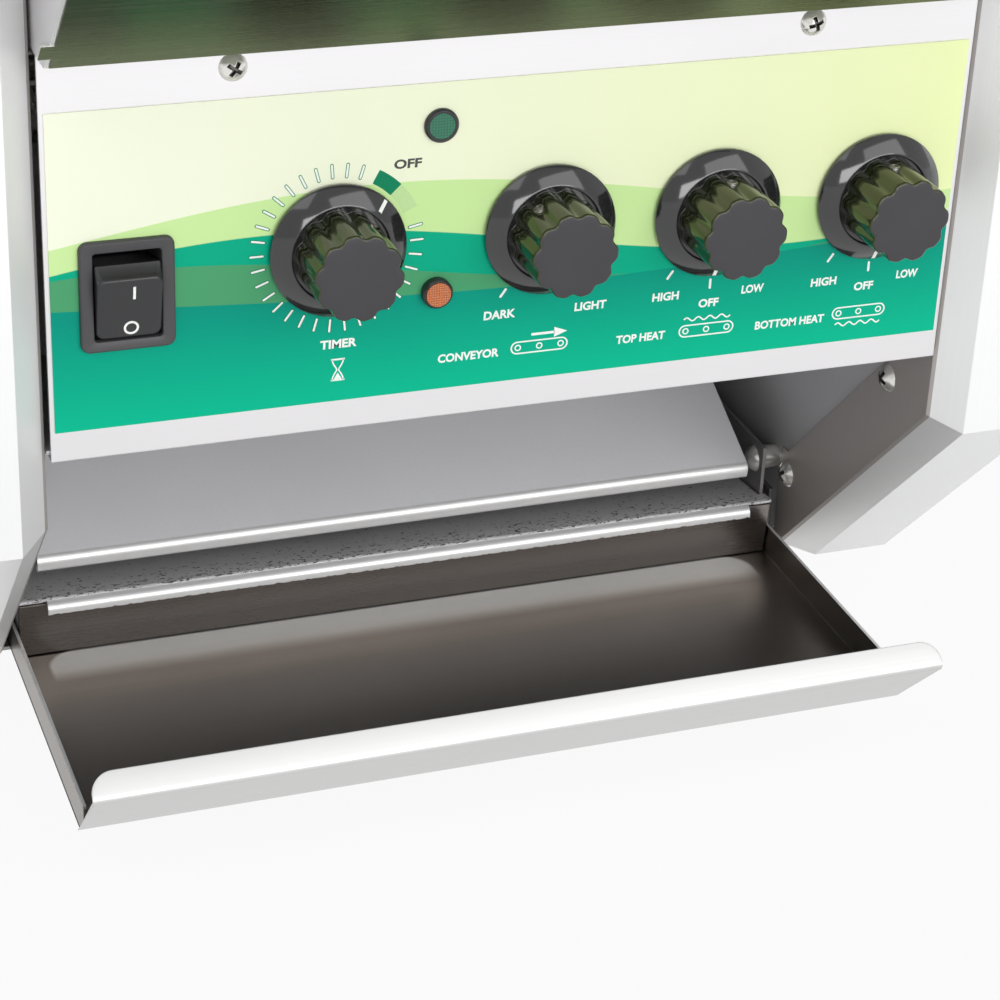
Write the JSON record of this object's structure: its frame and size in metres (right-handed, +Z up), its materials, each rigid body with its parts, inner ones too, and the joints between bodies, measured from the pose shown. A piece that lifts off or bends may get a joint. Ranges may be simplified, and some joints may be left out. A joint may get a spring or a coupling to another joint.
{
  "type": "conveyor toaster",
  "caption": "Countertop conveyor toaster: bread fed in above the controls rides a wire belt between heaters and slides out onto a tray below them.",
  "frame": {"origin": "centre of the bounding box at the height of the table, under the feet", "axes": "+Z up, front with the controls towards -Y, +X to the right of a person facing the front"},
  "size_m": [0.337, 0.496, 0.38],
  "materials": {
    "brushed": "brushed stainless sheet, grain along the sheet",
    "panel_sheet": "fine satin stainless sheet",
    "bright": "mirror-bright stainless sheet",
    "sheet": "plain mill-finish steel sheet",
    "toned_sheet": "plain steel sheet toned by heat",
    "screws": "bright zinc plating",
    "wire": "stainless wire darkened by heat",
    "shafts": "ground steel",
    "wheels": "oiled steel",
    "bronze": "sintered bronze",
    "motor_paint": "black enamel, smooth",
    "heater": "steel tube dulled by heat",
    "ceramic": "glazed ceramic",
    "print": "printed overlay, satin",
    "knob": "glossy black moulding",
    "switch": "fine matt black moulding",
    "control_case": "moulded phenolic",
    "board": "lacquered circuit board",
    "green_lamp": "clear coloured lens",
    "amber_lamp": "clear coloured lens",
    "feet_rubber": "matt black rubber"
  },
  "bodies": {
    "casing": {"side_cover_left": "brushed", "side_cover_right": "brushed", "side_frame_left": "sheet", "side_frame_right": "sheet", "base_pan": "sheet", "top_cover": "brushed", "rear_cover": "brushed", "control_panel": "panel_sheet", "control_shelf": "sheet", "panel_overlay": "print", "panel_screws": "screws", "feed_ramp": "bright", "feed_cheek_left": "bright", "feed_cheek_right": "bright", "front_hood": "brushed", "cover_screws": "screws", "pan_spacers": "screws", "conveyor_belt": "wire", "shaft_bushes": "bronze", "drive_chain": "wheels", "gear_motor": "motor_paint", "top_elements": "heater", "bottom_elements": "heater", "element_insulators": "ceramic", "top_reflector": "bright", "bottom_reflector": "bright", "rear_deflector": "toned_sheet", "discharge_ramp": "sheet", "tray_runners": "sheet", "timer_body": "control_case", "speed_control": "control_case", "top_heat_switch": "control_case", "bottom_heat_switch": "control_case", "rocker_frame": "switch", "lamp_bezels": "switch", "green_lens": "green_lamp", "amber_lens": "amber_lamp", "fan_frame": "switch", "control_board": "board", "cord_gland": "feet_rubber", "feet": "feet_rubber"},
    "timer": {"timer_knob": "knob", "timer_spindle": "shafts"},
    "speed": {"speed_knob": "knob", "speed_spindle": "shafts"},
    "top_heat": {"top_heat_knob": "knob", "top_heat_spindle": "shafts"},
    "bottom_heat": {"bottom_heat_knob": "knob", "bottom_heat_spindle": "shafts"},
    "power_rocker": {"rocker": "switch"},
    "toast_tray": {"landing_tray": "toned_sheet"},
    "crumbs": {"crumb_tray": "toned_sheet"},
    "drive": {"drive_shaft": "shafts", "drive_wheels": "wheels", "driven_sprocket": "wheels"},
    "idler": {"idler_shaft": "shafts", "idler_wheels": "wheels"},
    "motor_output": {"motor_sprocket": "wheels"},
    "fan": {"fan_rotor": "switch"}
  },
  "joints": [
    {"name": "timer_turn", "type": "hinge", "parent": "casing", "child": "timer", "pos_m": [-0.0535, -0.182, 0.1899], "axis": [0, 1, 0], "range_deg": [0, 330]},
    {"name": "speed_turn", "type": "hinge", "parent": "casing", "child": "speed", "pos_m": [0.007, -0.182, 0.1899], "axis": [0, 1, 0], "range_deg": [-290, 0]},
    {"name": "top_heat_turn", "type": "hinge", "parent": "casing", "child": "top_heat", "pos_m": [0.057, -0.182, 0.1899], "axis": [0, 1, 0], "range_deg": [0, 320]},
    {"name": "bottom_heat_turn", "type": "hinge", "parent": "casing", "child": "bottom_heat", "pos_m": [0.107, -0.182, 0.1899], "axis": [0, 1, 0], "range_deg": [0, 320]},
    {"name": "rocker_tilt", "type": "hinge", "parent": "casing", "child": "power_rocker", "pos_m": [-0.1108, -0.161, 0.1833], "axis": [-1, 0, 0], "range_deg": [0, 22]},
    {"name": "toast_tray_slide", "type": "slide", "parent": "casing", "child": "toast_tray", "axis": [0, -1, 0], "range_m": [0, 0.15]},
    {"name": "crumb_tray_slide", "type": "slide", "parent": "casing", "child": "crumbs", "axis": [0, -1, 0], "range_m": [0, 0.09]},
    {"name": "drive_spin", "type": "hinge", "parent": "casing", "child": "drive", "pos_m": [0, 0.158, 0.235], "axis": [1, 0, 0], "continuous": true},
    {"name": "idler_spin", "type": "hinge", "parent": "casing", "child": "idler", "pos_m": [0, -0.134, 0.235], "axis": [1, 0, 0], "continuous": true},
    {"name": "motor_spin", "type": "hinge", "parent": "casing", "child": "motor_output", "pos_m": [0.146, 0.128, 0.095], "axis": [1, 0, 0], "continuous": true},
    {"name": "fan_spin", "type": "hinge", "parent": "casing", "child": "fan", "pos_m": [-0.05, 0.228, 0.078], "axis": [0, 1, 0], "continuous": true}
  ],
  "couplings": [
    {"joint": "idler_spin", "follows": "drive_spin", "ratio": 1},
    {"joint": "motor_spin", "follows": "drive_spin", "ratio": 2}
  ]
}
